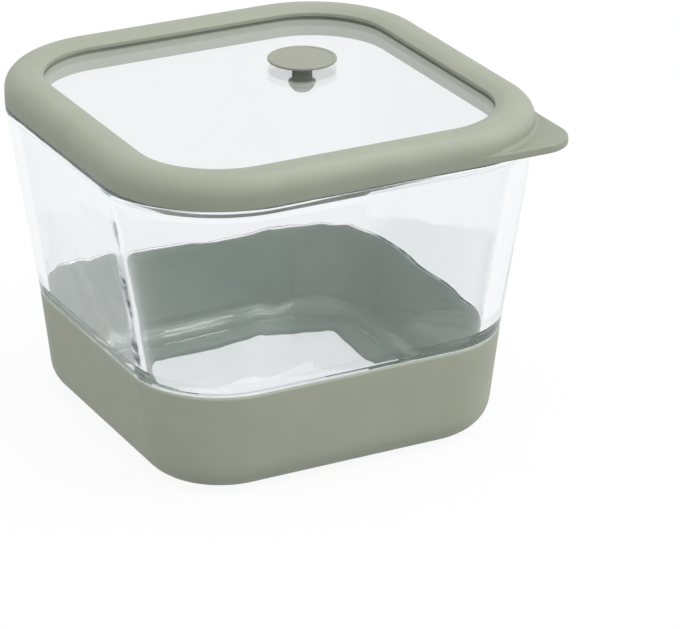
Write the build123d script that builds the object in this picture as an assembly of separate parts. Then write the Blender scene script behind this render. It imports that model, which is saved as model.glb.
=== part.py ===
from build123d import *
import math
import os

# A square food storage box. A glass tub stands in a silicone base sleeve, and a silicone-rimmed glass lid
# with a vent plug closes it. Millimetres, +Z up, the origin in the middle of the sleeve's underside.
# Every level of the box is one square whose rounded corners share four fixed centres, so a shape is a
# profile of (distance out from the corner centre, height) carried round those centres and along the sides.

# Plan of the whole box
LID_WIDTH = 160.0          # across the lid's flat sides, and across the tub's lip below it
CORNER_RADIUS = 43.0       # of the lid's outer corners
FIT = 0.3                  # clearance between pieces that come apart

# Silicone base sleeve
SLEEVE_HEIGHT = 38.1
SLEEVE_WALL = 2.0
SLEEVE_BASE = 2.0          # thickness of its floor
SLEEVE_DRAFT = 6.5         # lean of its side, degrees
SLEEVE_FOOT_RADIUS = 11.3  # round between side and underside
SLEEVE_TOP_RADIUS = 0.8    # round on its upper edge
WINDOW_MARGIN = 20.2       # floor left between the side and the window, in plan
WINDOW_CORNER = 11.0

# Glass tub
TUB_HEIGHT = 108.3         # foot to lip
TUB_DRAFT = 8.4            # lean of the outer wall above the sleeve, degrees
LIP_WALL = 7.0             # glass thickness at the lip
INNER_DRAFT = 8.3          # lean of the inner wall, degrees
LAND_HEIGHT = 13.0         # steeper upper part of the inner wall, which the lid seals on
LAND_DRAFT = 7.2
TUB_FLOOR = 6.5            # glass thickness at the foot
INNER_FOOT_RADIUS = 4.5    # round between floor and inner wall
FOOT_RELIEF = 0.2          # how much more the foot is rounded than the sleeve inside
STAND_WIDTH = 1.7          # ring it stands on, between the foot round and the recess under the floor
KICK_UP = 1.4              # height of that shallow recess
LIP_BAND = 2.2             # height of the slightly thicker band round the lip
LIP_BAND_PROUD = 0.2
LIP_RADIUS = 1.2           # round on both edges of the lip

# Silicone lid rim
RIM_HEIGHT = 11.3          # above the tub's lip
BEAD_WIDTH = 13.9          # seen from above
BEAD_OUTER_RADIUS = 6.6
BEAD_INNER_SLOPE = 3.6     # width of the slope down to the pane
BEAD_INNER_DROP = 1.6      # height of that slope
BEAD_CROWN_RADIUS = 9.0
BEAD_LIP_RADIUS = 0.5
RIM_EDGE_RADIUS = 0.6      # on the lower outer edge
SKIRT_DROP = 2.0           # how far the skirt reaches into the tub
SKIRT_EDGE_RADIUS = 0.4
SEAL_RIB_HEIGHT = 1.0
SEAL_RIB_PROUD = 0.5

# Glass pane in the rim
PANE_THICKNESS = 4.0
PANE_RECESS = 2.9          # its upper face below the bead's crown
PANE_GRIP = 5.0            # how far it reaches into the rim's groove
PANE_EDGE = 0.6            # ground edge of pane and hole
VENT_HOLE_RADIUS = 4.0

# Pull tab at one corner of the rim
TAB_CORNER_RADIUS = 12.4
TAB_THICKNESS = 3.2
TAB_EDGE_RADIUS = 0.9
TAB_COVE = 1.6             # hollow fillet from the tab up to the bead
TAB_ROOT = 1.0             # tab buried in the bead

# Silicone vent plug
VENT_X = 23.4
VENT_Y = 18.4
HEAD_RADIUS = 12.4
HEAD_THICKNESS = 0.9
HEAD_EDGE_RADIUS = 0.3
HEAD_DISH = 0.2            # depth of the shallow dish in the head
HEAD_BORDER = 1.2          # flat border round that dish
COLLAR_RADIUS = 6.5        # seals on the pane under the head
COLLAR_HEIGHT = 1.7
STEM_RADIUS = 3.65
BULB_RADIUS = 4.95
BULB_SIDE = 1.0            # straight part of the bulb
BULB_DOME = 3.2
VENT_LIFT = 4.6            # travel of the plug from closed to open

# Levels and radii that follow
core_half = LID_WIDTH / 2 - CORNER_RADIUS
lip_z = SLEEVE_BASE + TUB_HEIGHT
band_z = lip_z - LIP_BAND
floor_z = SLEEVE_BASE + TUB_FLOOR
shoulder_z = SLEEVE_HEIGHT + FIT
crown_z = lip_z + RIM_HEIGHT
pane_top_z = crown_z - PANE_RECESS
pane_bottom_z = pane_top_z - PANE_THICKNESS
bead_inner_r = CORNER_RADIUS - BEAD_WIDTH
groove_r = bead_inner_r + PANE_GRIP
bulb_top_z = pane_bottom_z - VENT_LIFT - FIT


def lean(height, draft):
    """Sideways run of a wall that leans by draft degrees over a height."""
    return height * math.tan(math.radians(draft))


def tub_outer_r(z):
    """Corner radius of the tub's outer wall above the sleeve."""
    return CORNER_RADIUS - LIP_BAND_PROUD - lean(band_z - z, TUB_DRAFT)


def tub_inner_r(z):
    """Corner radius of the tub's inner wall."""
    on_land = min(lip_z - z, LAND_HEIGHT)
    return CORNER_RADIUS - LIP_WALL - lean(on_land, LAND_DRAFT) - lean(lip_z - z - on_land, INNER_DRAFT)


def sleeve_outer_r(z):
    """Corner radius of the sleeve's outside, flush with the tub's wall above it."""
    return tub_outer_r(SLEEVE_HEIGHT) - lean(SLEEVE_HEIGHT - z, SLEEVE_DRAFT)


def sleeve_inner_r(z):
    """Corner radius of the sleeve's inside."""
    return sleeve_outer_r(z) - SLEEVE_WALL


window_half = core_half + sleeve_outer_r(0) - WINDOW_MARGIN


def profile(corners):
    """Face of (radius, height, rounding) corners, upright beside the corner centre at +X, +Y."""
    points = [(radius, height) for radius, height, _ in corners]
    rounds = [rounding for _, _, rounding in corners]
    outline = FilletPolyline(*points, radius=rounds, close=True)
    plane = Plane(origin=(core_half, core_half, 0), x_dir=(1, 0, 0), z_dir=(0, -1, 0))
    return plane * make_face(outline)


def around(face):
    """Carries a profile round the four corners and along the four sides."""
    corner_axis = Axis((core_half, core_half, 0), (0, 0, 1))
    corner = revolve(face, axis=corner_axis, revolution_arc=90)
    side = extrude(face, amount=2 * core_half)
    quarter = corner + side
    return Part() + [Rot(0, 0, 90 * turn) * quarter for turn in range(4)]


def plate(half, corner_radius, bottom, top):
    """Flat square plate with rounded corners, centred on the box."""
    outline = RectangleRounded(2 * half, 2 * half, corner_radius)
    return Pos(0, 0, bottom) * extrude(outline, amount=top - bottom)


def core(bottom, top):
    """Square block that fills the middle of a floor, between the corner centres."""
    return Pos(0, 0, bottom) * Box(
        2 * core_half, 2 * core_half, top - bottom, align=(Align.CENTER, Align.CENTER, Align.MIN)
    )


def base_sleeve():
    """Silicone sleeve with a rounded foot and a window in its floor."""
    inner_foot = SLEEVE_FOOT_RADIUS - SLEEVE_BASE
    shell = around(profile([
        (0, 0, 0),
        (sleeve_outer_r(0), 0, SLEEVE_FOOT_RADIUS),
        (sleeve_outer_r(SLEEVE_HEIGHT), SLEEVE_HEIGHT, SLEEVE_TOP_RADIUS),
        (sleeve_inner_r(SLEEVE_HEIGHT), SLEEVE_HEIGHT, SLEEVE_TOP_RADIUS / 2),
        (sleeve_inner_r(SLEEVE_BASE), SLEEVE_BASE, inner_foot),
        (0, SLEEVE_BASE, 0),
    ]))
    window = plate(window_half, WINDOW_CORNER, -SLEEVE_BASE, 2 * SLEEVE_BASE)
    return shell + core(0, SLEEVE_BASE) - window


def glass_tub():
    """Pressed-glass tub, recessed where the sleeve goes, with a band round its lip."""
    foot_r = sleeve_inner_r(SLEEVE_BASE) - FIT
    foot_radius = SLEEVE_FOOT_RADIUS - SLEEVE_BASE + FOOT_RELIEF
    foot_run = foot_radius / math.tan(math.radians(45 + SLEEVE_DRAFT / 2))
    kick_r = foot_r - foot_run - STAND_WIDTH
    kick_z = SLEEVE_BASE + KICK_UP
    land_z = lip_z - LAND_HEIGHT
    shell = around(profile([
        (0, kick_z, 0),
        (kick_r - KICK_UP, kick_z, KICK_UP / 2),
        (kick_r, SLEEVE_BASE, KICK_UP / 2),
        (foot_r, SLEEVE_BASE, foot_radius),
        (sleeve_inner_r(shoulder_z) - FIT, shoulder_z, FIT),
        (tub_outer_r(shoulder_z), shoulder_z, SLEEVE_TOP_RADIUS),
        (tub_outer_r(band_z), band_z, 0),
        (CORNER_RADIUS, band_z + LIP_BAND_PROUD, 0),
        (CORNER_RADIUS, lip_z, LIP_RADIUS),
        (CORNER_RADIUS - LIP_WALL, lip_z, LIP_RADIUS),
        (tub_inner_r(land_z), land_z, 0),
        (tub_inner_r(floor_z), floor_z, INNER_FOOT_RADIUS),
        (0, floor_z, 0),
    ]))
    return shell + core(kick_z, floor_z)


def pull_tab():
    """Leaf at the +X, -Y corner, coved up to the bead."""
    half = LID_WIDTH / 2
    reach = half - core_half
    middle_z = lip_z + TAB_THICKNESS / 2
    top_z = lip_z + TAB_THICKNESS
    leaf = plate(half, TAB_CORNER_RADIUS, lip_z, top_z)
    flats = leaf.faces().sort_by(Axis.Z)
    leaf = fillet(flats[0].edges() + flats[-1].edges(), TAB_EDGE_RADIUS)

    cove_width = TAB_COVE + 2 * TAB_ROOT
    cove_height = top_z + TAB_COVE - middle_z
    blank = Pos(CORNER_RADIUS + TAB_COVE, middle_z) * Rectangle(
        cove_width, cove_height, align=(Align.MAX, Align.MIN)
    )
    hollow = Pos(CORNER_RADIUS + TAB_COVE, top_z + TAB_COVE) * Circle(TAB_COVE)
    plane = Plane(origin=(core_half, -core_half, 0), x_dir=(1, 0, 0), z_dir=(0, -1, 0))
    corner_axis = Axis((core_half, -core_half, 0), (0, 0, 1))
    cove = revolve(plane * (blank - hollow), axis=corner_axis, revolution_arc=-90)
    flat_top = plate(half - TAB_EDGE_RADIUS, TAB_CORNER_RADIUS - TAB_EDGE_RADIUS, lip_z, crown_z)

    quadrant = Pos(core_half + reach / 2, -core_half - reach / 2, crown_z) * Box(reach, reach, 2 * crown_z)
    inside_bead = Pos(core_half, -core_half, crown_z) * Cylinder(CORNER_RADIUS - TAB_ROOT, 2 * crown_z)
    return ((leaf + (cove & flat_top)) & quadrant) - inside_bead


def lid_rim():
    """Silicone rim: bead, groove for the pane, skirt with its sealing rib, and the pull tab."""
    skirt_r = tub_inner_r(lip_z - SKIRT_DROP) - FIT - SEAL_RIB_PROUD
    skirt_z = lip_z - SKIRT_DROP
    rib_z = lip_z - SKIRT_DROP / 2
    ring = around(profile([
        (skirt_r, skirt_z, SKIRT_EDGE_RADIUS),
        (skirt_r, rib_z - SEAL_RIB_HEIGHT / 2, 0),
        (skirt_r + SEAL_RIB_PROUD, rib_z, 0),
        (skirt_r, rib_z + SEAL_RIB_HEIGHT / 2, 0),
        (skirt_r, lip_z, 0),
        (CORNER_RADIUS, lip_z, RIM_EDGE_RADIUS),
        (CORNER_RADIUS, crown_z, BEAD_OUTER_RADIUS),
        (bead_inner_r + BEAD_INNER_SLOPE, crown_z, BEAD_CROWN_RADIUS),
        (bead_inner_r, crown_z - BEAD_INNER_DROP, BEAD_LIP_RADIUS),
        (bead_inner_r, pane_top_z, 0),
        (groove_r, pane_top_z, 0),
        (groove_r, pane_bottom_z, 0),
        (bead_inner_r, pane_bottom_z, 0),
        (bead_inner_r, skirt_z, SKIRT_EDGE_RADIUS),
    ]))
    return ring + pull_tab()


def lid_pane():
    """Glass pane with ground edges and the hole for the vent plug."""
    sheet = plate(core_half + groove_r, groove_r, pane_bottom_z, pane_top_z)
    hole = Pos(VENT_X, VENT_Y, pane_bottom_z) * Cylinder(VENT_HOLE_RADIUS, 4 * PANE_THICKNESS)
    faces = (sheet - hole).faces().sort_by(Axis.Z)
    return chamfer(faces[0].edges() + faces[-1].edges(), PANE_EDGE / 2)


def vent_plug():
    """Silicone vent plug: dished head, sealing collar, stem through the pane and retaining bulb."""
    head_z = pane_top_z + COLLAR_HEIGHT
    head_top = head_z + HEAD_THICKNESS
    dish_r = HEAD_RADIUS - HEAD_BORDER
    bulb_side_z = bulb_top_z - BULB_SIDE
    outline = FilletPolyline(
        (0, head_top - HEAD_DISH),
        (dish_r - HEAD_DISH, head_top - HEAD_DISH),
        (dish_r, head_top),
        (HEAD_RADIUS, head_top),
        (HEAD_RADIUS, head_z),
        (COLLAR_RADIUS, head_z),
        (COLLAR_RADIUS, pane_top_z),
        (STEM_RADIUS, pane_top_z),
        (STEM_RADIUS, bulb_top_z),
        (BULB_RADIUS, bulb_top_z),
        (BULB_RADIUS, bulb_side_z),
        radius=[0, 0, HEAD_EDGE_RADIUS, HEAD_EDGE_RADIUS, HEAD_EDGE_RADIUS, 0, 0, 0, HEAD_EDGE_RADIUS],
    )
    dome = EllipticalCenterArc((0, bulb_side_z), BULB_RADIUS, BULB_DOME, start_angle=-90, arc_size=90)
    axis_line = Line((0, bulb_side_z - BULB_DOME), (0, head_top - HEAD_DISH))
    half_section = Plane.XZ * make_face(outline + dome + axis_line)
    return Pos(VENT_X, VENT_Y, 0) * revolve(half_section, axis=Axis.Z)


os.makedirs("parts", exist_ok=True)
nodes = {
    "base_sleeve": base_sleeve(),
    "glass_tub": glass_tub(),
    "lid_rim": lid_rim(),
    "lid_pane": lid_pane(),
    "vent_plug": vent_plug(),
}
for name, solid in nodes.items():
    export_step(solid, f"parts/{name}.step")
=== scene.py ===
"""A square glass food box with a silicone base sleeve and a silicone-rimmed glass lid.

Metres, +Z up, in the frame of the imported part. Every level of the box is a square whose rounded corners
share four fixed centres. So the main pieces are rows of (half width, corner radius, height), which one
node tree carries round the box.
"""

from __future__ import annotations

import logging
import math
from dataclasses import dataclass, field
from enum import Enum
from typing import Any

import bmesh
import bpy
from bpy.types import ID, Material, Node, NodeSocket, NodeTree, Object, World
from mathutils import Matrix, Vector
from numpy import interp

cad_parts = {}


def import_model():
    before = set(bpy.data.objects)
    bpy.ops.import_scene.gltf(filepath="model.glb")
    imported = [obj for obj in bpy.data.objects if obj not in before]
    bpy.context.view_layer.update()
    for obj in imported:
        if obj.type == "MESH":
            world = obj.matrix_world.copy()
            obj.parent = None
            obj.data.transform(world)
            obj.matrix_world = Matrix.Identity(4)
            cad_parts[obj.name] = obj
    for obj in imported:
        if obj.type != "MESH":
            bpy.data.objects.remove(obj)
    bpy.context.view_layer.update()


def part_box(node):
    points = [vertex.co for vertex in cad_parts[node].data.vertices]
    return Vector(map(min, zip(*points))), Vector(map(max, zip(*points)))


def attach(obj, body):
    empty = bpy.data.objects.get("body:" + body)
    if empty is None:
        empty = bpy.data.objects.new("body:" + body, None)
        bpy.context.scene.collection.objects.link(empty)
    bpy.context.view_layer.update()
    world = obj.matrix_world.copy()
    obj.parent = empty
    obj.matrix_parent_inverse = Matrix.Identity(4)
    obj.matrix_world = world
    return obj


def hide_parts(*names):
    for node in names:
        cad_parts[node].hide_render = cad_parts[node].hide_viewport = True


LOG = logging.getLogger("food_box")
QUARTERS = 4
QUARTER_TURN = math.pi / 2
MERGE_DISTANCE = 1e-6
SLIVER = 1e-7
NOISE_SPAN = (0.3, 0.7)  # nearly all values of a noise lie in it
WHITE = (1.0, 1.0, 1.0, 1.0)

Colour = tuple[float, float, float]
Pairs = tuple[tuple[float, float], ...]
Traced = tuple[float, float, float]


class Wander(Enum):
    """How far a face strays from its true place, in metres, as moulding or pressing leaves it."""

    TRUE = 0.0
    OUTSIDE = 0.00004
    INSIDE = 0.00021
    FLOOR = 0.00024


@dataclass(frozen=True)
class Point:
    """One corner of a profile, in the plane of half width and height.

    Args:
        half: half of the square's width at this point.
        height: above the table.
        rounding: radius of the round at this corner.
        wander: how true the faces after this corner are.
        varies: whether the round is there in some profiles of the piece and not in others.
    """

    half: float
    height: float
    rounding: float = 0.0
    wander: Wander = Wander.TRUE
    varies: bool = False


@dataclass(frozen=True)
class Plan:
    """How square a ring of a given half width is, and how far it is moved to the plan's own centre.

    Args:
        corners: (half width, corner radius) pairs, in rising order of half width.
        shifts: (half width, share of the way to the centre) pairs.
        centre: where a fully shifted ring is centred.
    """

    corners: Pairs
    shifts: Pairs = ((0.0, 0.0),)
    centre: tuple[float, float] = (0.0, 0.0)

    def row(self, half: float, height: float, wander: float) -> tuple[float, ...]:
        """The ring at a half width: (half width, corner radius, height, wander, shift)."""
        corner, shift = (float(interp(half, *zip(*pairs))) for pairs in (self.corners, self.shifts))
        return half, corner, height, wander, shift


@dataclass(frozen=True)
class Outline:
    """A profile with rounded corners.

    Args:
        points: its corners in order.
        closed: whether the last corner joins the first.
        longest_run: longest straight step between two rings.
        turn_step: largest turn between two rings on a round, in degrees.
        round_steps: steps of every round, where profiles of one piece differ and have to match.
    """

    points: tuple[Point, ...]
    closed: bool = True
    longest_run: float = 0.003
    turn_step: float = 11.0
    round_steps: int | None = None

    def trace(self) -> list[Traced]:
        """Follows the profile.

        Returns:
            (half width, height, wander) along it, with the first one repeated at the end if it is closed.
        """
        traced: list[Traced] = []
        for index, point in enumerate(self.points):
            arc = [Vector((point.half, point.height))]
            if point.rounding > 0.0:
                arc = self.round_off(index)
            elif self.round_steps and point.varies:
                arc *= self.round_steps + 1
            if traced:
                traced += self.run_to(arc[0], traced[-1], self.points[index - 1].wander.value)
            traced += [(spot.x, spot.y, point.wander.value) for spot in arc]
        if self.closed:
            first = Vector(traced[0][:2])
            traced += self.run_to(first, traced[-1], self.points[-1].wander.value)
            traced.append(traced[0])
        return traced

    def round_off(self, index: int) -> list[Vector]:
        """Points on the round of one corner.

        Args:
            index: which corner.

        Returns:
            The round's points, both tangent points among them.
        """
        corners = (self.points[index], self.points[index - 1], self.points[(index + 1) % len(self.points)])
        here, before, after = (Vector((corner.half, corner.height)) for corner in corners)
        back, ahead = (before - here).normalized(), (after - here).normalized()
        opening = back.angle(ahead)
        rounding = self.points[index].rounding
        reach = rounding / math.tan(opening / 2)
        start, end = here + back * reach, here + ahead * reach
        middle = here + (back + ahead).normalized() * (rounding / math.sin(opening / 2))
        turn = math.pi - opening
        steps = self.round_steps or max(2, math.ceil(math.degrees(turn) / self.turn_step))
        out, across = (start - middle).normalized(), (end - start).normalized()
        side = (across - out * across.dot(out)).normalized()
        return [
            middle + (out * math.cos(turn * step / steps) + side * math.sin(turn * step / steps)) * rounding
            for step in range(steps + 1)
        ]

    def run_to(self, end: Vector, last: Traced, wander: float) -> list[Traced]:
        """Points inside the straight run from the last traced point to the next round.

        Args:
            end: where the run ends.
            last: the last traced point.
            wander: how true the run is.

        Returns:
            The points between both ends.
        """
        start = Vector(last[:2])
        steps = max(1, math.ceil((end - start).length / self.longest_run))
        return [(*start.lerp(end, step / steps), wander) for step in range(1, steps)]


def lean(rise: float, degrees: float) -> float:
    """How far a leaning wall moves sideways over a rise."""
    return rise * math.tan(math.radians(degrees))


@dataclass(frozen=True)
class BoxFrame:
    """The box's leading sizes.

    Args:
        lip_half: half width at the tub's lip.
        lip_z: height of the tub's lip.
        sleeve_base: thickness of the sleeve's floor, which the tub stands on.
        sleeve_top: height of the sleeve's upper edge.
        crown_z: height of the lid rim's crown.
        pane_z: lower and upper face of the lid's pane.
        pane_half: half width of the pane.
        vent: lowest and highest corner of the vent plug.
        corner_radius: of the lid's outer corners.
        fit: clearance between pieces that come apart.
        sleeve_wall: thickness of the sleeve's side.
        sleeve_draft: lean of the sleeve's side in degrees, as the other drafts.
        tub_draft: of the tub's outer wall above the sleeve.
        inner_draft: of the tub's inner wall.
        land_draft: of that wall's upper part, which the lid seals on.
        land_height: height of that part.
        lip_wall: glass thickness at the lip.
        lip_band: height of the slightly thicker band round the lip.
        lip_band_proud: how much thicker the band is.
    """

    lip_half: float
    lip_z: float
    sleeve_base: float
    sleeve_top: float
    crown_z: float
    pane_z: tuple[float, float]
    pane_half: float
    vent: tuple[Vector, Vector]
    corner_radius: float = 0.043
    fit: float = 0.0003
    sleeve_wall: float = 0.002
    sleeve_draft: float = 6.5
    tub_draft: float = 8.4
    inner_draft: float = 8.3
    land_draft: float = 7.2
    land_height: float = 0.013
    lip_wall: float = 0.007
    lip_band: float = 0.0022
    lip_band_proud: float = 0.0002

    @classmethod
    def read(cls) -> BoxFrame:
        """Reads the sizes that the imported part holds.

        Returns:
            The leading sizes.
        """
        nodes = ("glass_tub", "base_sleeve", "lid_rim", "lid_pane")
        tub, sleeve, rim, pane = (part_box(node) for node in nodes)
        return cls(
            lip_half=tub[1].x,
            lip_z=tub[1].z,
            sleeve_base=tub[0].z,
            sleeve_top=sleeve[1].z,
            crown_z=rim[1].z,
            pane_z=(pane[0].z, pane[1].z),
            pane_half=pane[1].x,
            vent=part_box("vent_plug"),
        )

    @property
    def band_z(self) -> float:
        """Lower edge of the band round the lip."""
        return self.lip_z - self.lip_band

    @property
    def core(self) -> float:
        """Distance of the corner centres from the middle planes."""
        return self.lip_half - self.corner_radius

    def tub_outer(self, height: float) -> float:
        """Half width of the tub's outer wall above the sleeve."""
        return self.lip_half - self.lip_band_proud - lean(self.band_z - height, self.tub_draft)

    def tub_inner(self, height: float) -> float:
        """Half width of the tub's inner wall.

        Args:
            height: where it is measured.

        Returns:
            The half width.
        """
        on_land = min(self.lip_z - height, self.land_height)
        below = self.lip_z - height - on_land
        moved = lean(on_land, self.land_draft) + lean(below, self.inner_draft)
        return self.lip_half - self.lip_wall - moved

    def sleeve_outer(self, height: float) -> float:
        """Half width of the sleeve's outside."""
        return self.tub_outer(self.sleeve_top) - lean(self.sleeve_top - height, self.sleeve_draft)

    def plan(self, *inside: tuple[float, float]) -> Plan:
        """Plan whose rings share the corner centres, apart from the pairs given for smaller rings."""
        widest = self.lip_half + self.corner_radius
        return Plan((*inside, (widest, widest - self.core)))


class NodeDesk:
    """Adds and wires the nodes of one tree."""

    def __init__(self, tree: NodeTree) -> None:
        """Takes the tree to work on."""
        self.tree = tree

    def add(self, kind: str, feeds: dict[Any, Any] | None = None, **settings: Any) -> Node:
        """Adds a node.

        Args:
            kind: its type.
            feeds: plain values or sockets that go into its sockets, by name or number.
            settings: its properties.

        Returns:
            The node.
        """
        node = self.tree.nodes.new(kind)
        for name, value in settings.items():
            setattr(node, name, value)
        for name, value in (feeds or {}).items():
            if isinstance(value, NodeSocket):
                self.tree.links.new(value, node.inputs[name])
            else:
                node.inputs[name].default_value = value
        return node

    def math(self, operation: str, first: Any, second: Any = 0.0, third: Any = 0.0) -> NodeSocket:
        """Result of a Math node."""
        return self.add("ShaderNodeMath", {0: first, 1: second, 2: third}, operation=operation).outputs[0]

    def map_range(self, value: Any, low: float, high: float, to_low: Any, to_high: Any) -> NodeSocket:
        """Value moved from one range to another, held at its ends."""
        feeds = {"Value": value, "From Min": low, "From Max": high, "To Min": to_low, "To Max": to_high}
        return self.add("ShaderNodeMapRange", feeds).outputs["Result"]

    def noise(self, vector: Any, feature: float, detail: float = 2.0) -> NodeSocket:
        """Noise from 0 to 1 with features of about the given size."""
        feeds = {"Vector": vector, "Scale": 1.0 / feature, "Detail": detail}
        return self.add("ShaderNodeTexNoise", feeds).outputs[0]

    def scaled(self, vector: Any, scale: Any) -> NodeSocket:
        """A vector or colour times a number."""
        return self.add("ShaderNodeVectorMath", {0: vector, "Scale": scale}, operation="SCALE").outputs[0]

    def vector_math(self, operation: str, first: Any, second: Any) -> Node:
        """A Vector Math node of two vectors."""
        return self.add("ShaderNodeVectorMath", {0: first, 1: second}, operation=operation)

    def mixed(self, share: Any, first: Any, second: Any) -> NodeSocket:
        """Two colours, mixed by a share."""
        feeds = {"Factor": share, 6: first, 7: second}
        return self.add("ShaderNodeMix", feeds, data_type="RGBA").outputs[2]


def empty_desk(owner: Material | World) -> NodeDesk:
    """Empties the node tree of a material or world.

    Args:
        owner: the material or world.

    Returns:
        A desk on its tree.
    """
    owner.use_nodes = True
    owner.node_tree.nodes.clear()
    return NodeDesk(owner.node_tree)


def linked(name: str, data: ID) -> Object:
    """Makes an object and links it to the scene.

    Args:
        name: of the object.
        data: its mesh, camera or light.

    Returns:
        The object.
    """
    made = bpy.data.objects.new(name, data)
    bpy.context.scene.collection.objects.link(made)
    return made


class CarryTree:
    """Node tree that carries rows round the box.

    It reads rows from a mesh whose points are (half width, corner radius, height), lays a grid over them, and
    bends the grid round the square.
    """

    NAME = "carry_round"
    CALM_SPAN = (0.030, 0.042)
    CORNER_CALM = 0.15
    INPUTS: dict[str, str] = {
        "Rows": "NodeSocketGeometry",
        "Corner Steps": "NodeSocketInt",
        "Side Steps": "NodeSocketInt",
        "Centre": "NodeSocketVector",
        "Ripple": "NodeSocketFloat",
        "Finish": "NodeSocketMaterial",
    }

    def __init__(self) -> None:
        """Builds the tree."""
        self.tree = bpy.data.node_groups.new(self.NAME, "GeometryNodeTree")
        for name, kind in self.INPUTS.items():
            self.tree.interface.new_socket(name, in_out="INPUT", socket_type=kind)
        self.tree.interface.new_socket("Piece", in_out="OUTPUT", socket_type="NodeSocketGeometry")
        self.desk = NodeDesk(self.tree)
        self.given = self.desk.add("NodeGroupInput").outputs
        self.build()

    def build(self) -> None:
        """Wires the tree."""
        desk, given = self.desk, self.given
        rows = desk.add("GeometryNodeAttributeDomainSize", {"Geometry": given["Rows"]}).outputs["Point Count"]
        per_quarter = desk.math("ADD", given["Corner Steps"], given["Side Steps"])
        columns = desk.math("MULTIPLY_ADD", per_quarter, float(QUARTERS), 1.0)
        grid = desk.add("GeometryNodeMeshGrid", {"Vertices X": rows, "Vertices Y": columns}).outputs["Mesh"]
        index = desk.add("GeometryNodeInputIndex").outputs["Index"]
        row = self.whole(index, columns)
        column = desk.math("SUBTRACT", index, desk.math("MULTIPLY", row, columns))
        piece = self.passed("SetPosition", grid, {"Position": self.place(row, column, per_quarter)})
        stray = {"Name": "wander", "Value": self.sample("FLOAT", self.named("wander"), row)}
        piece = self.passed("StoreNamedAttribute", piece, stray, data_type="FLOAT", domain="POINT")
        piece = self.passed("MergeByDistance", piece, {"Distance": MERGE_DISTANCE})
        piece = self.passed("SetPosition", piece, {"Offset": self.ripple()})
        piece = self.passed("RealizeInstances", piece, {})
        piece = self.passed("SetMaterial", piece, {"Material": given["Finish"]})
        desk.add("NodeGroupOutput", {"Piece": piece})

    def passed(self, kind: str, piece: Any, feeds: dict[str, Any], **settings: Any) -> NodeSocket:
        """The geometry after one more node."""
        node = self.desk.add(f"GeometryNode{kind}", {"Geometry": piece, **feeds}, **settings)
        return node.outputs["Geometry"]

    def named(self, name: str) -> NodeSocket:
        """A float attribute of the geometry in hand."""
        return self.desk.add("GeometryNodeInputNamedAttribute", {"Name": name}, data_type="FLOAT").outputs[0]

    def sample(self, kind: str, value: Any, row: Any) -> NodeSocket:
        """A value read from the rows, at one row."""
        feeds = {"Geometry": self.given["Rows"], "Value": value, "Index": row}
        return self.desk.add("GeometryNodeSampleIndex", feeds, data_type=kind, clamp=True).outputs[0]

    def whole(self, index: Any, size: Any) -> NodeSocket:
        """How many whole groups of a size lie before an index, half a step clear of rounding."""
        inside = self.desk.math("ADD", index, 0.5)
        return self.desk.math("FLOOR", self.desk.math("DIVIDE", inside, size))

    def place(self, row: Any, column: Any, per_quarter: Any) -> NodeSocket:
        """Where a grid point goes.

        Args:
            row: its row.
            column: its column.
            per_quarter: how many columns a quarter turn of the box has.

        Returns:
            The socket with its place.
        """
        desk, given = self.desk, self.given
        quarter = self.whole(column, per_quarter)
        step = desk.math("SUBTRACT", column, desk.math("MULTIPLY", quarter, per_quarter))
        turned = desk.math("MINIMUM", desk.math("DIVIDE", step, given["Corner Steps"]), 1.0)
        angle = desk.math("MULTIPLY", turned, QUARTER_TURN)
        past = desk.math("MAXIMUM", desk.math("SUBTRACT", step, given["Corner Steps"]), 0.0)
        along = desk.math("DIVIDE", past, given["Side Steps"])
        position = desk.add("GeometryNodeInputPosition").outputs[0]
        sampled = self.sample("FLOAT_VECTOR", position, row)
        half, corner, height = desk.add("ShaderNodeSeparateXYZ", {0: sampled}).outputs
        core = desk.math("SUBTRACT", half, corner)
        back = desk.math("MULTIPLY_ADD", along, -2.0, 1.0)
        out_x = desk.math("MULTIPLY", corner, desk.math("COSINE", angle))
        out_y = desk.math("MULTIPLY", corner, desk.math("SINE", angle))
        x = desk.math("MULTIPLY_ADD", core, back, out_x)
        spot = desk.add("ShaderNodeCombineXYZ", {"X": x, "Y": desk.math("ADD", core, out_y), "Z": height})
        turn = {"Vector": spot.outputs[0], "Angle": desk.math("MULTIPLY", quarter, QUARTER_TURN)}
        in_quarter = desk.add("ShaderNodeVectorRotate", turn, rotation_type="Z_AXIS").outputs[0]
        shift = desk.scaled(given["Centre"], self.sample("FLOAT", self.named("shift"), row))
        return desk.vector_math("ADD", in_quarter, shift).outputs[0]

    def ripple(self) -> NodeSocket:
        """How a point strays along its normal: by a smooth noise, up to its wander, less in the corners.

        Returns:
            The socket with its offset.
        """
        desk = self.desk
        position = desk.add("GeometryNodeInputPosition").outputs[0]
        feeds = {"Vector": position, "Scale": desk.math("DIVIDE", 1.0, self.given["Ripple"]), "Detail": 1.0}
        noise = desk.add("ShaderNodeTexNoise", feeds).outputs[0]
        swing = desk.math("MULTIPLY_ADD", noise, 2.0, -1.0)
        x, y, _ = desk.add("ShaderNodeSeparateXYZ", {0: position}).outputs
        inward = desk.math("MINIMUM", desk.math("ABSOLUTE", x), desk.math("ABSOLUTE", y))
        calm = desk.map_range(inward, *self.CALM_SPAN, 1.0, self.CORNER_CALM)
        length = desk.math("MULTIPLY", desk.math("MULTIPLY", swing, calm), self.named("wander"))
        return desk.scaled(desk.add("GeometryNodeInputNormal").outputs["Normal"], length)


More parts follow.
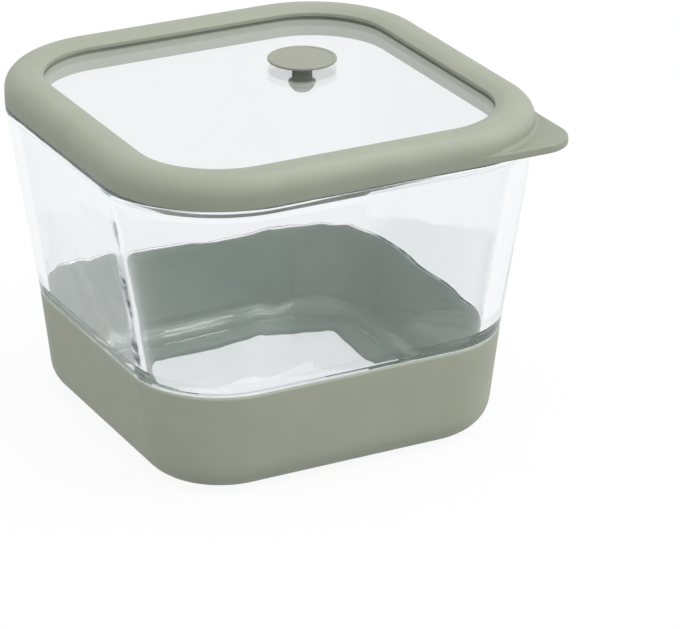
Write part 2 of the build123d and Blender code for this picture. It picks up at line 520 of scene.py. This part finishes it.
def clean_mesh(piece: Object, sharp_degrees: float = 38.0) -> None:
    """Merges doubles, turns the faces outwards and smooths what isn't a real edge.

    Args:
        piece: a closed mesh.
        sharp_degrees: from this turn on, an edge stays sharp.
    """
    work = bmesh.new()
    work.from_mesh(piece.data)
    bmesh.ops.remove_doubles(work, verts=work.verts, dist=MERGE_DISTANCE)
    bmesh.ops.dissolve_degenerate(work, edges=work.edges, dist=SLIVER)
    bmesh.ops.recalc_face_normals(work, faces=work.faces)
    work.to_mesh(piece.data)
    work.free()
    piece.data.shade_smooth()
    piece.data.set_sharp_from_angle(angle=math.radians(sharp_degrees))


@dataclass
class CarriedPiece:
    """A piece made of rows that the node tree carries round the box.

    Args:
        name: of the piece.
        outline: its profile.
        plan: how square its rings are.
        corner_steps: steps round each corner.
        side_steps: steps along each side.
        ripple: size of the features by which its faces wander.
    """

    name: str
    outline: Outline
    plan: Plan
    corner_steps: int = 24
    side_steps: int = 26
    ripple: float = 0.02

    def build(self, tree: CarryTree, finish: Material) -> Object:
        """Makes the piece as a plain mesh.

        Args:
            tree: the node tree that carries rows.
            finish: its material.

        Returns:
            The piece, with its modifier gone.
        """
        piece = self.row_mesh()
        modifier = piece.modifiers.new("carry", "NODES")
        modifier.node_group = tree.tree
        values: dict[str, Any] = {
            "Corner Steps": self.corner_steps,
            "Side Steps": self.side_steps,
            "Centre": (*self.plan.centre, 0.0),
            "Ripple": self.ripple,
            "Finish": finish,
        }
        identifiers = {socket.name: socket.identifier for socket in tree.tree.interface.items_tree}
        for name, value in values.items():
            modifier[identifiers[name]] = value
        depsgraph = bpy.context.evaluated_depsgraph_get()
        carried = bpy.data.meshes.new_from_object(piece.evaluated_get(depsgraph), depsgraph=depsgraph)
        piece.modifiers.clear()
        piece.data = carried
        carried.name = self.name
        clean_mesh(piece)
        return piece

    def row_mesh(self) -> Object:
        """Lays the rows down as points of a mesh, with their wander and shift as attributes.

        Returns:
            The piece, which holds only these points.
        """
        rows = [self.plan.row(*traced) for traced in self.outline.trace()]
        mesh = bpy.data.meshes.new(f"{self.name}_rows")
        mesh.from_pydata([row[:3] for row in rows], [], [])
        for column, attribute in ((-2, "wander"), (-1, "shift")):
            layer = mesh.attributes.new(attribute, "FLOAT", "POINT")
            layer.data.foreach_set("value", [row[column] for row in rows])
        return linked(self.name, mesh)


class Side(Enum):
    """Which faces a band of painted light or shade lies on: share of the outward-facing ones, and share of
    the inward-facing ones.
    """

    OUTER = (1.0, 0.0)
    INNER = (0.0, 1.0)
    BOTH = (1.0, 1.0)


@dataclass(frozen=True)
class PaintedLightBand:
    """A band of painted light or shade along an edge, lighter or darker than the colour round it.

    Args:
        start: height where the band begins.
        full: height where it is at full strength.
        times: how many times lighter it is there.
        side: which faces it lies on.
    """

    start: float
    full: float
    times: float
    side: Side = Side.OUTER


@dataclass(frozen=True)
class SiliconeFinish:
    """Matt silicone with a fine grain, and bands of painted light or shade where given.

    Args:
        name: of the material.
        shade: linear colour.
        roughness: least and most of its roughness.
        rough_size: size of the rougher and smoother patches.
        mottle: how much lighter and darker the colour gets.
        mottle_size: size of the lighter and darker patches.
        grain: size of the surface grain, which is grain_depth high.
        side_blur: how gradually a tone ends between outward and inward faces.
        tones: bands of painted light or shade along edges.
    """

    name: str
    shade: Colour = (0.338, 0.362, 0.289)
    roughness: tuple[float, float] = (0.48, 0.57)
    rough_size: float = 0.006
    mottle: float = 0.03
    mottle_size: float = 0.018
    grain: float = 0.0003
    grain_depth: float = 0.000003
    grain_strength: float = 0.6
    ior: float = 1.41
    side_blur: float = 0.01
    tones: tuple[PaintedLightBand, ...] = ()

    def material(self) -> Material:
        """Builds the material.

        Returns:
            The material.
        """
        material = bpy.data.materials.new(self.name)
        desk = empty_desk(material)
        place = desk.add("ShaderNodeTexCoord").outputs["Object"]
        cloud = desk.map_range(desk.noise(place, self.mottle_size, detail=3.0), *NOISE_SPAN, 0.0, 1.0)
        light = tuple(part * (1.0 + self.mottle) for part in self.shade)
        dark = tuple(part * (1.0 - self.mottle) for part in self.shade)
        colour = desk.mixed(cloud, (*dark, 1.0), (*light, 1.0))
        for tone in self.tones:
            colour = self.toned(desk, place, colour, tone)
        relief = {
            "Strength": self.grain_strength,
            "Distance": self.grain_depth,
            "Height": desk.noise(place, self.grain),
        }
        surface = {
            "Base Color": colour,
            "Roughness": desk.map_range(desk.noise(place, self.rough_size), *NOISE_SPAN, *self.roughness),
            "IOR": self.ior,
            "Normal": desk.add("ShaderNodeBump", relief).outputs["Normal"],
        }
        shader = desk.add("ShaderNodeBsdfPrincipled", surface).outputs[0]
        desk.add("ShaderNodeOutputMaterial", {"Surface": shader})
        return material

    def toned(self, desk: NodeDesk, place: Any, colour: Any, tone: PaintedLightBand) -> NodeSocket:
        """Paints a band of light or shade into the colour.

        Args:
            desk: of the material.
            place: socket with the object's coordinates.
            colour: socket with the colour so far.
            tone: the band.

        Returns:
            The socket with the new colour.
        """
        height = desk.add("ShaderNodeSeparateXYZ", {0: place}).outputs["Z"]
        near = desk.map_range(height, tone.start, tone.full, 0.0, 1.0)
        if tone.side is not Side.BOTH:
            normal = desk.add("ShaderNodeTexCoord").outputs["Normal"]
            level = desk.vector_math("MULTIPLY", place, (1.0, 1.0, 0.0)).outputs[0]
            away = desk.vector_math("DOT_PRODUCT", normal, level).outputs["Value"]
            outer, inner = tone.side.value
            near = desk.math("MULTIPLY", near, desk.map_range(away, -self.side_blur, 0.0, inner, outer))
        return desk.scaled(colour, desk.math("MULTIPLY_ADD", near, tone.times - 1.0, 1.0))


@dataclass(frozen=True)
class GlassFinish:
    """Clear glass whose edges look a little cooler and deeper.

    Args:
        name: of the material.
        face: linear colour seen square on.
        edge: linear colour seen at a glancing angle.
        edge_blend: how early the glancing colour sets in.
        deep: linear colour of light that has run a long way inside the glass.
        deep_turns: inner reflections after which that colour sets in and takes over.
        ripple: size of the faint ripples left by pressing.
        ripple_depth: their height, in metres.
        shadow: how much light of a lamp passes one face.
    """

    name: str
    face: Colour = (0.963, 0.968, 0.979)
    edge: Colour = (0.78, 0.83, 0.855)
    edge_blend: float = 0.28
    deep: Colour = (0.15, 0.21, 0.24)
    deep_turns: tuple[float, float] = (3.0, 12.0)
    ior: float = 1.5
    ripple: float = 0.009
    ripple_depth: float = 0.000004
    shadow: Colour = (0.885, 0.930, 0.940)

    def material(self) -> Material:
        """Builds the material. Light from lamps and matt surfaces passes it straight, so its inside is lit.

        Returns:
            The material.
        """
        material = bpy.data.materials.new(self.name)
        desk = empty_desk(material)
        place = desk.add("ShaderNodeTexCoord").outputs["Object"]
        path = desk.add("ShaderNodeLightPath").outputs
        facing = desk.add("ShaderNodeLayerWeight", {"Blend": self.edge_blend}).outputs["Facing"]
        colour = desk.mixed(facing, (*self.face, 1.0), (*self.edge, 1.0))
        depth = desk.map_range(path["Glossy Depth"], *self.deep_turns, 0.0, 1.0)
        relief = {
            "Strength": 1.0,
            "Distance": self.ripple_depth,
            "Height": desk.noise(place, self.ripple, detail=1.0),
        }
        surface = {
            "Base Color": desk.mixed(depth, colour, (*self.deep, 1.0)),
            "Roughness": 0.0,
            "IOR": self.ior,
            "Transmission Weight": 1.0,
            "Normal": desk.add("ShaderNodeBump", relief).outputs["Normal"],
        }
        glass = desk.add("ShaderNodeBsdfPrincipled", surface).outputs[0]
        straight = desk.add("ShaderNodeBsdfTransparent", {"Color": (*self.shadow, 1.0)}).outputs[0]
        lighting = desk.math("MAXIMUM", path["Is Shadow Ray"], path["Is Diffuse Ray"])
        shader = desk.add("ShaderNodeMixShader", {0: lighting, 1: glass, 2: straight}).outputs[0]
        desk.add("ShaderNodeOutputMaterial", {"Surface": shader})
        return material


@dataclass
class BaseSleeve:
    """Silicone sleeve with a rounded foot, a window in its floor and a painted highlight along its top edge.
    """

    frame: BoxFrame
    tree: CarryTree
    foot_radius: float = 0.0113
    top_radius: float = 0.0008
    window_margin: float = 0.0202
    window_corner: float = 0.011
    window_edge: float = 0.0004
    # Painted highlight: the colour just below the sleeve's top edge is lighter, standing in for light caught
    # on the rounded edge.
    painted_highlight_below_top: tuple[float, float] = (0.0007, 0.0003)
    painted_top_highlight: float = 1.2

    @property
    def window(self) -> float:
        """Half width of the window."""
        return self.frame.sleeve_outer(0.0) - self.window_margin

    def outline(self) -> Outline:
        """Profile of the sleeve.

        Returns:
            The profile, closed round the sleeve's wall and floor.
        """
        frame = self.frame
        base, top, wall = frame.sleeve_base, frame.sleeve_top, frame.sleeve_wall
        return Outline(
            (
                Point(self.window, base, self.window_edge),
                Point(self.window, 0.0, self.window_edge),
                Point(frame.sleeve_outer(0.0), 0.0, self.foot_radius),
                Point(frame.sleeve_outer(top), top, self.top_radius),
                Point(frame.sleeve_outer(top) - wall, top, self.top_radius / 2),
                Point(frame.sleeve_outer(base) - wall, base, self.foot_radius - base),
            )
        )

    def plan(self) -> Plan:
        """The window has corners of its own."""
        flat = self.frame.sleeve_outer(0.0) - self.foot_radius - self.frame.sleeve_wall
        return self.frame.plan((self.window, self.window_corner), (flat, flat - self.frame.core))

    def build(self) -> Object:
        """Makes and dresses the sleeve.

        Returns:
            The sleeve.
        """
        # Painted highlight along the sleeve's top edge, as a lighter band in the colour.
        start, full = (self.frame.sleeve_top - below for below in self.painted_highlight_below_top)
        finish = SiliconeFinish("sleeve_sage_silicone", tones=(PaintedLightBand(start, full, self.painted_top_highlight),))
        piece = CarriedPiece("sleeve_shell", self.outline(), self.plan()).build(self.tree, finish.material())
        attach(piece, "sleeve")
        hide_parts("base_sleeve")
        return piece


@dataclass
class GlassTub:
    """Pressed-glass tub, recessed where the sleeve goes, with a band round its lip."""

    frame: BoxFrame
    tree: CarryTree
    floor: float = 0.0065
    inner_foot_radius: float = 0.0045
    foot_radius: float = 0.0095
    kick_up: float = 0.0014
    kick_half: float = 0.05146
    lip_radius: float = 0.0012
    shoulder_radius: float = 0.0003
    land_rounding: float = 0.05
    press_line_rise: float = 0.0005
    press_line_half: float = 0.0005
    press_line_depth: float = 0.00012
    ripple: float = 0.016
    finish: GlassFinish = field(default_factory=lambda: GlassFinish("pressed_glass"))

    def outline(self) -> Outline:
        """Profile of the tub.

        Returns:
            The profile, from the middle of its underside round to the middle of its floor.
        """
        frame, fit = self.frame, self.frame.fit
        base = frame.sleeve_base
        shoulder = frame.sleeve_top + fit
        recess = frame.sleeve_wall + fit
        floor = base + self.floor
        land_z = frame.lip_z - frame.land_height
        return Outline(
            (
                Point(0.0, base + self.kick_up, wander=Wander.OUTSIDE),
                Point(self.kick_half, base + self.kick_up, self.kick_up / 2),
                Point(self.kick_half + self.kick_up, base, self.kick_up / 2),
                Point(frame.sleeve_outer(base) - recess, base, self.foot_radius),
                Point(frame.sleeve_outer(shoulder) - recess, shoulder, fit),
                Point(frame.tub_outer(shoulder), shoulder, self.shoulder_radius, Wander.OUTSIDE),
                Point(frame.tub_outer(frame.band_z), frame.band_z),
                Point(frame.lip_half, frame.band_z + frame.lip_band_proud),
                Point(frame.lip_half, frame.lip_z, self.lip_radius),
                Point(frame.lip_half - frame.lip_wall, frame.lip_z, self.lip_radius, Wander.INSIDE),
                Point(frame.tub_inner(land_z), land_z, self.land_rounding, Wander.INSIDE),
                *self.press_line(),
                Point(frame.tub_inner(floor), floor, self.inner_foot_radius, Wander.FLOOR),
                Point(0.0, floor, wander=Wander.FLOOR),
            ),
            closed=False,
            longest_run=0.0025,
            turn_step=7.5,
        )

    def press_line(self) -> tuple[Point, ...]:
        """Faint ridge that pressing leaves round the inner wall, just above the sleeve.

        Returns:
            Its upper, middle and lower corner.
        """
        middle = self.frame.sleeve_top + self.press_line_rise
        heights = (middle + self.press_line_half, middle, middle - self.press_line_half)
        stands = (0.0, self.press_line_depth, 0.0)
        return tuple(
            Point(self.frame.tub_inner(height) - stand, height, self.press_line_half, Wander.INSIDE)
            for height, stand in zip(heights, stands)
        )

    def build(self) -> Object:
        """Makes and dresses the tub.

        Returns:
            The tub.
        """
        plan = self.frame.plan((0.0, 0.0), (self.kick_half, self.kick_half - self.frame.core))
        carried = CarriedPiece("tub_shell", self.outline(), plan, ripple=self.ripple)
        piece = carried.build(self.tree, self.finish.material())
        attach(piece, "tub")
        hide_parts("glass_tub")
        return piece


@dataclass
class LidPane:
    """Flat glass pane with ground edges and a hole for the vent plug."""

    frame: BoxFrame
    tree: CarryTree
    centre: Vector
    hole_radius: float = 0.004
    ground_edge: float = 0.0003
    round_share: float = 1.5
    border_share: float = 4.0
    finish: GlassFinish = field(
        default_factory=lambda: GlassFinish(
            "flat_glass", face=(0.943, 0.941, 0.942), ripple_depth=0.0000015, shadow=(0.960, 0.970, 0.965)
        )
    )

    def outline(self) -> Outline:
        """Section of the pane.

        Returns:
            The closed section, from the hole to the pane's edge and back.
        """
        half, edge, hole = self.frame.pane_half, self.ground_edge, self.hole_radius
        low, high = self.frame.pane_z
        return Outline(
            (
                Point(hole + edge, low),
                Point(half - edge, low),
                Point(half, low + edge),
                Point(half, high - edge),
                Point(half - edge, high),
                Point(hole + edge, high),
                Point(hole, high - edge),
                Point(hole, low + edge),
            ),
            longest_run=0.006,
        )

    def plan(self) -> Plan:
        """Rings that are round about the hole and square at the pane's edge.

        Returns:
            The plan.
        """
        half, core = self.frame.pane_half, self.frame.core
        round_to = self.round_share * self.hole_radius
        square_from = half - self.border_share * self.ground_edge
        corners = ((0.0, 0.0), (round_to, round_to), (square_from, square_from - core), (half, half - core))
        return Plan(corners, ((round_to, 1.0), (square_from, 0.0)), tuple(self.centre.xy))

    def build(self) -> Object:
        """Makes and dresses the pane.

        Returns:
            The pane.
        """
        carried = CarriedPiece("pane_sheet", self.outline(), self.plan())
        piece = carried.build(self.tree, self.finish.material())
        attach(piece, "lid")
        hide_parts("lid_pane")
        return piece


@dataclass
class VentPlug:
    """Silicone vent plug: dished head, sealing collar, stem through the pane and retaining bulb."""

    frame: BoxFrame
    tree: CarryTree
    shade: Colour = (0.305, 0.318, 0.258)
    head_radius: float = 0.0124
    head_thickness: float = 0.0009
    head_edge: float = 0.0003
    dish: float = 0.0002
    border: float = 0.0012
    collar_radius: float = 0.0065
    stem_radius: float = 0.00365
    bulb_radius: float = 0.00495
    bulb_side: float = 0.001
    bulb_dome: float = 0.0032
    dome_rounding: float = 0.0022
    tip_share: float = 0.62
    tip_rise: float = 0.12
    # Painted shade: the stem between head and pane is darker, where the head shades it.
    painted_stem_shade: float = 0.65
    stem_blur: float = 0.0003
    # Painted light: the bulb below the pane is lighter, standing in for light through the pane and the pane's
    # reflection over it.
    painted_bulb_light: float = 1.6
    bulb_blur: float = 0.0002

    @property
    def centre(self) -> Vector:
        """Middle of the plug, seen from above."""
        low, high = self.frame.vent
        return (low + high) / 2

    @property
    def bulb_top(self) -> float:
        """Height of the bulb's upper side."""
        return self.frame.vent[0].z + self.bulb_dome + self.bulb_side

    def outline(self) -> Outline:
        """Half section of the plug.

        Returns:
            The section, from the middle of its head down to the tip of its bulb.
        """
        low, high = self.frame.vent
        pane_top, bulb_top = self.frame.pane_z[1], self.bulb_top
        head_z = high.z - self.head_thickness
        dish_half = self.head_radius - self.border
        tip_z = low.z + self.bulb_dome * self.tip_rise
        return Outline(
            (
                Point(0.0, high.z - self.dish),
                Point(dish_half - self.dish, high.z - self.dish, self.dish),
                Point(dish_half, high.z, self.dish / 2),
                Point(self.head_radius, high.z, self.head_edge),
                Point(self.head_radius, head_z, self.head_edge),
                Point(self.collar_radius, head_z, self.head_edge),
                Point(self.collar_radius, pane_top, self.head_edge),
                Point(self.stem_radius, pane_top),
                Point(self.stem_radius, bulb_top, self.head_edge),
                Point(self.bulb_radius, bulb_top, self.head_edge),
                Point(self.bulb_radius, bulb_top - self.bulb_side, self.dome_rounding / 2),
                Point(self.bulb_radius * self.tip_share, tip_z, self.dome_rounding),
                Point(0.0, low.z),
            ),
            closed=False,
            longest_run=0.001,
            turn_step=15.0,
        )

    def finish(self) -> SiliconeFinish:
        """Silicone with painted shade on the stem under the head and painted light on the bulb below the
        pane.

        Returns:
            The finish.
        """
        bands = (
            # painted shade on the stem under the head
            (self.frame.pane_z[1], self.stem_blur, self.painted_stem_shade),
            # painted light on the bulb below the pane
            (self.bulb_top, self.bulb_blur, self.painted_bulb_light / self.painted_stem_shade),
        )
        tones = tuple(PaintedLightBand(top + blur, top - blur, times, Side.BOTH) for top, blur, times in bands)
        return SiliconeFinish("plug_sage_silicone", shade=self.shade, tones=tones)

    def build(self) -> Object:
        """Makes and dresses the plug.

        Returns:
            The plug.
        """
        plan = Plan(((0.0, 0.0), (1.0, 1.0)), ((0.0, 1.0),), tuple(self.centre.xy))
        carried = CarriedPiece("plug_body", self.outline(), plan, corner_steps=18, side_steps=1)
        piece = carried.build(self.tree, self.finish().material())
        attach(piece, "vent")
        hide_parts("vent_plug")
        return piece


@dataclass
class LidRim:
    """Silicone rim: crowned bead, groove for the pane, skirt with its sealing rib, and the pull tab, with
    painted shade low on the bead's outer side and painted light on the skirt's inner faces.
    """

    frame: BoxFrame
    bead_width: float = 0.0139
    outer_radius: float = 0.0066
    inner_slope: float = 0.0036
    inner_drop: float = 0.0016
    crown_radius: float = 0.009
    lip_radius: float = 0.0005
    edge_radius: float = 0.0006
    skirt_drop: float = 0.002
    skirt_edge: float = 0.0004
    rib_height: float = 0.001
    rib_proud: float = 0.0005
    pane_grip: float = 0.005
    tab_quarter: int = 3
    tab_corner: float = 0.0124
    tab_thickness: float = 0.0032
    tab_edge: float = 0.0009
    tab_edge_share: float = 0.4
    tab_cove: float = 0.0016
    tab_cove_share: float = 0.55
    # Painted shade: the bead's outer side gets darker towards the lip, where less light reaches it.
    painted_side_shade: float = 0.84
    painted_side_shade_rise: tuple[float, float] = (0.0085, 0.003)
    # Painted light: the skirt's inner faces below the pane are lighter, standing in for light and the pane's
    # reflection over them.
    painted_skirt_light: float = 1.24
    painted_skirt_light_drop: float = 0.0003
    corner_steps: int = 40
    side_steps: int = 26

    def tab_reach(self, angle: float) -> float:
        """How far the tab stands out beyond the bead.

        Args:
            angle: round the corner, from one side's direction to the other's.

        Returns:
            The reach in metres.
        """
        radius = self.frame.corner_radius
        inner = radius - self.tab_corner
        flat = radius / max(math.cos(angle), math.sin(angle))
        along = inner * (math.cos(angle) + math.sin(angle))
        under = along * along - 2 * inner * inner + self.tab_corner**2
        on_round = inner < flat * min(math.cos(angle), math.sin(angle))
        reach = along + math.sqrt(max(under, 0.0)) if on_round else flat
        return max(reach - radius, 0.0)

    def outline(self, reach: float) -> Outline:
        """Profile of the rim, with half widths that count from the corner centres.

        Args:
            reach: of the tab, at this place.

        Returns:
            The closed profile, with the same number of points for every reach.
        """
        frame = self.frame
        radius, lip_z, crown = frame.corner_radius, frame.lip_z, frame.crown_z
        pane_low, pane_high = frame.pane_z
        bead_inner = radius - self.bead_width
        groove = bead_inner + self.pane_grip
        skirt_z = lip_z - self.skirt_drop
        rib_z = lip_z - self.skirt_drop / 2
        skirt = frame.tub_inner(skirt_z) - frame.core - frame.fit - self.rib_proud
        share = min(reach / (2 * self.tab_edge), 1.0)
        lower = self.edge_radius + (self.tab_edge - self.edge_radius) * share
        upper = min(self.tab_edge * share, reach * self.tab_edge_share)
        cove = min(self.tab_cove, reach * self.tab_cove_share)
        tab_z = lip_z + self.tab_thickness
        return Outline(
            (
                Point(skirt, skirt_z, self.skirt_edge),
                Point(skirt, rib_z - self.rib_height / 2),
                Point(skirt + self.rib_proud, rib_z),
                Point(skirt, rib_z + self.rib_height / 2),
                Point(skirt, lip_z),
                Point(radius + reach, lip_z, lower),
                Point(radius + reach, tab_z, upper, varies=True),
                Point(radius, tab_z, cove, varies=True),
                Point(radius, crown, self.outer_radius),
                Point(bead_inner + self.inner_slope, crown, self.crown_radius),
                Point(bead_inner, crown - self.inner_drop, self.lip_radius),
                Point(bead_inner, pane_high),
                Point(groove, pane_high),
                Point(groove, pane_low),
                Point(bead_inner, pane_low),
                Point(bead_inner, skirt_z, self.skirt_edge),
            ),
            longest_run=1.0,
            round_steps=9,
        )

    def ring(self, quarter: int, step: int) -> list[Vector]:
        """One profile of the rim, in its place.

        Args:
            quarter: which quarter of the box.
            step: how far into the quarter, round its corner first and then along its side.

        Returns:
            The profile's points.
        """
        core = self.frame.core
        turn = Matrix.Rotation(quarter * QUARTER_TURN, 3, "Z")
        angle = min(step / self.corner_steps, 1.0) * QUARTER_TURN
        along = max(step - self.corner_steps, 0) / self.side_steps
        reach = self.tab_reach(angle) if quarter == self.tab_quarter and along == 0.0 else 0.0
        centre = Vector((core * (1 - 2 * along), core, 0.0))
        out = Vector((math.cos(angle), math.sin(angle), 0.0))
        traced = self.outline(reach).trace()[:-1]
        return [turn @ (centre + out * half + Vector((0.0, 0.0, height))) for half, height, _ in traced]

    def build(self) -> Object:
        """Makes and dresses the rim.

        Returns:
            The rim.
        """
        steps = range(self.corner_steps + self.side_steps)
        rings = [self.ring(quarter, step) for quarter in range(QUARTERS) for step in steps]
        piece = ring_mesh("rim_moulding", rings)
        start, full = (self.frame.lip_z + rise for rise in self.painted_side_shade_rise)
        pane_low = self.frame.pane_z[0]
        tones = (
            # painted shade low on the bead's outer side
            PaintedLightBand(start, full, self.painted_side_shade),
            # painted light on the skirt's inner faces below the pane
            PaintedLightBand(pane_low, pane_low - self.painted_skirt_light_drop, self.painted_skirt_light, Side.INNER),
        )
        piece.data.materials.append(SiliconeFinish("lid_sage_silicone", tones=tones).material())
        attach(piece, "lid")
        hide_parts("lid_rim")
        return piece


def ring_mesh(name: str, rings: list[list[Vector]]) -> Object:
    """Joins closed rings of equal length, one after the other and the last to the first.

    Args:
        name: of the piece.
        rings: the rings.

    Returns:
        The piece.
    """
    size = len(rings[0])
    starts = [ring * size for ring in range(len(rings))]
    faces = [
        (here + spot, here + (spot + 1) % size, ahead + (spot + 1) % size, ahead + spot)
        for here, ahead in zip(starts, starts[1:] + starts[:1])
        for spot in range(size)
    ]
    mesh = bpy.data.meshes.new(name)
    mesh.from_pydata([spot for ring in rings for spot in ring], [], faces)
    piece = linked(name, mesh)
    clean_mesh(piece)
    return piece


@dataclass(frozen=True)
class SoftLamp:
    """Square lamp that points at the box.

    Args:
        name: of the lamp.
        place: where it hangs.
        width: of its sides.
        energy: in watts.
        on_matt: whether it lights matt surfaces, or only gloss and glass show it.
    """

    name: str
    place: tuple[float, float, float]
    width: float
    energy: float
    on_matt: bool = True

    def hang(self, aim_z: float) -> None:
        """Adds the lamp to the scene.

        Args:
            aim_z: height that it points at, in the middle of the box.
        """
        data = bpy.data.lights.new(self.name, "AREA")
        data.shape = "SQUARE"
        data.size = self.width
        data.energy = self.energy
        place = Vector(self.place)
        aim = Vector((0.0, 0.0, aim_z)) - place
        lamp = linked(self.name, data)
        lamp.matrix_world = Matrix.Translation(place) @ aim.to_track_quat("-Z", "Y").to_matrix().to_4x4()
        lamp.visible_diffuse = self.on_matt


@dataclass
class Studio:
    """Camera, plain floor, pale world, a large soft lamp on the right and a small one overhead."""

    azimuth: float = -26.72
    elevation: float = 22.59
    roll: float = -0.23
    distance: float = 1.31807
    look_at_z: float = 0.060
    focal_px: float = 3712.01
    middle_px: tuple[float, float] = (267.32, 245.44)
    picture_px: tuple[int, int] = (680, 629)
    sensor: float = 36.0
    clip: tuple[float, float] = (0.05, 50.0)
    ambient: float = 0.98
    floor_reach: float = 12.0
    floor_glow: float = 0.91
    floor_seen: float = 0.08
    floor_lit: float = 0.5
    glass_bounces: int = 40
    straight_bounces: int = 24
    soft_lamps: tuple[SoftLamp, ...] = (
        SoftLamp("key", (1.1, -0.7, 1.3), 1.4, 13.5),
        SoftLamp("gleam", (0.6, 0.0, 1.37), 0.35, 6.0, on_matt=False),
    )

    def camera(self) -> None:
        """Places the camera at the photograph's viewing angle."""
        data = bpy.data.cameras.new("view")
        width, height = self.picture_px
        data.sensor_width = self.sensor
        data.lens = self.focal_px * self.sensor / width
        data.shift_x = (width / 2 - self.middle_px[0]) / width
        data.shift_y = (self.middle_px[1] - height / 2) / width
        data.clip_start, data.clip_end = self.clip
        azimuth, elevation = math.radians(self.azimuth), math.radians(self.elevation)
        level = math.cos(elevation)
        back = Vector((math.sin(azimuth) * level, -math.cos(azimuth) * level, math.sin(elevation)))
        right = Vector((math.cos(azimuth), math.sin(azimuth), 0.0))
        up = back.cross(right)
        cosine, sine = math.cos(math.radians(self.roll)), math.sin(math.radians(self.roll))
        axes = (right * cosine + up * sine, up * cosine - right * sine, back)
        place = Matrix([axis.to_tuple() for axis in axes]).transposed().to_4x4()
        place.translation = Vector((0.0, 0.0, self.look_at_z)) + back * self.distance
        camera = linked("view", data)
        camera.matrix_world = place
        bpy.context.scene.camera = camera

    @staticmethod
    def seen(desk: NodeDesk) -> NodeSocket:
        """Tells what is looked at from what only lights the box.

        Args:
            desk: of the world or a material.

        Returns:
            A socket that is 1 for the camera, also in gloss and through glass, and 0 for other light.
        """
        path = desk.add("ShaderNodeLightPath").outputs
        direct = desk.math("MAXIMUM", path["Is Camera Ray"], path["Is Glossy Ray"])
        return desk.math("MAXIMUM", direct, path["Is Transmission Ray"])

    def world(self) -> None:
        """Pale world that is white where it is seen, also in gloss and through glass."""
        world = bpy.data.worlds.new("pale_room")
        desk = empty_desk(world)
        strength = desk.map_range(self.seen(desk), 0.0, 1.0, self.ambient, 1.0)
        sky = desk.add("ShaderNodeBackground", {"Color": WHITE, "Strength": strength}).outputs[0]
        desk.add("ShaderNodeOutputWorld", {"Surface": sky})
        bpy.context.scene.world = world

    def floor(self) -> None:
        """Wide pale floor that looks white and keeps a faint shadow."""
        mesh = bpy.data.meshes.new("floor")
        reach = self.floor_reach
        corners = [(-reach, -reach, 0.0), (reach, -reach, 0.0), (reach, reach, 0.0), (-reach, reach, 0.0)]
        mesh.from_pydata(corners, [], [(0, 1, 2, 3)])
        floor = linked("floor", mesh)
        material = bpy.data.materials.new("pale_floor")
        desk = empty_desk(material)
        seen = self.seen(desk)
        strength = desk.math("MULTIPLY", seen, self.floor_glow)
        glow = desk.add("ShaderNodeEmission", {"Strength": strength}).outputs[0]
        grey = desk.map_range(seen, 0.0, 1.0, self.floor_lit, self.floor_seen)
        tone = desk.add("ShaderNodeCombineColor", {"Red": grey, "Green": grey, "Blue": grey}).outputs[0]
        matt = desk.add("ShaderNodeBsdfDiffuse", {"Color": tone}).outputs[0]
        shader = desk.add("ShaderNodeAddShader", {0: glow, 1: matt}).outputs[0]
        desk.add("ShaderNodeOutputMaterial", {"Surface": shader})
        mesh.materials.append(material)

    def build(self) -> None:
        """Sets the whole studio and the light paths that thick glass needs."""
        self.camera()
        self.world()
        self.floor()
        for lamp in self.soft_lamps:
            lamp.hang(self.look_at_z)
        scene = bpy.context.scene
        scene.view_settings.view_transform = "Standard"
        scene.cycles.max_bounces = self.glass_bounces
        scene.cycles.transmission_bounces = self.glass_bounces
        scene.cycles.glossy_bounces = self.glass_bounces
        scene.cycles.transparent_max_bounces = self.straight_bounces


def report(piece: Object) -> None:
    """Logs what a piece is made of."""
    mesh = piece.data
    LOG.info("%s: %d points, %d faces", piece.name, len(mesh.vertices), len(mesh.polygons))


def main() -> None:
    """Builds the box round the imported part."""
    logging.basicConfig(level=logging.INFO, format="%(name)s: %(message)s")
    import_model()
    frame = BoxFrame.read()
    tree = CarryTree()
    plug = VentPlug(frame, tree)
    Studio().build()
    pane = LidPane(frame, tree, plug.centre)
    for part in (BaseSleeve(frame, tree), GlassTub(frame, tree), LidRim(frame), pane, plug):
        report(part.build())


if __name__ == "__main__":
    main()
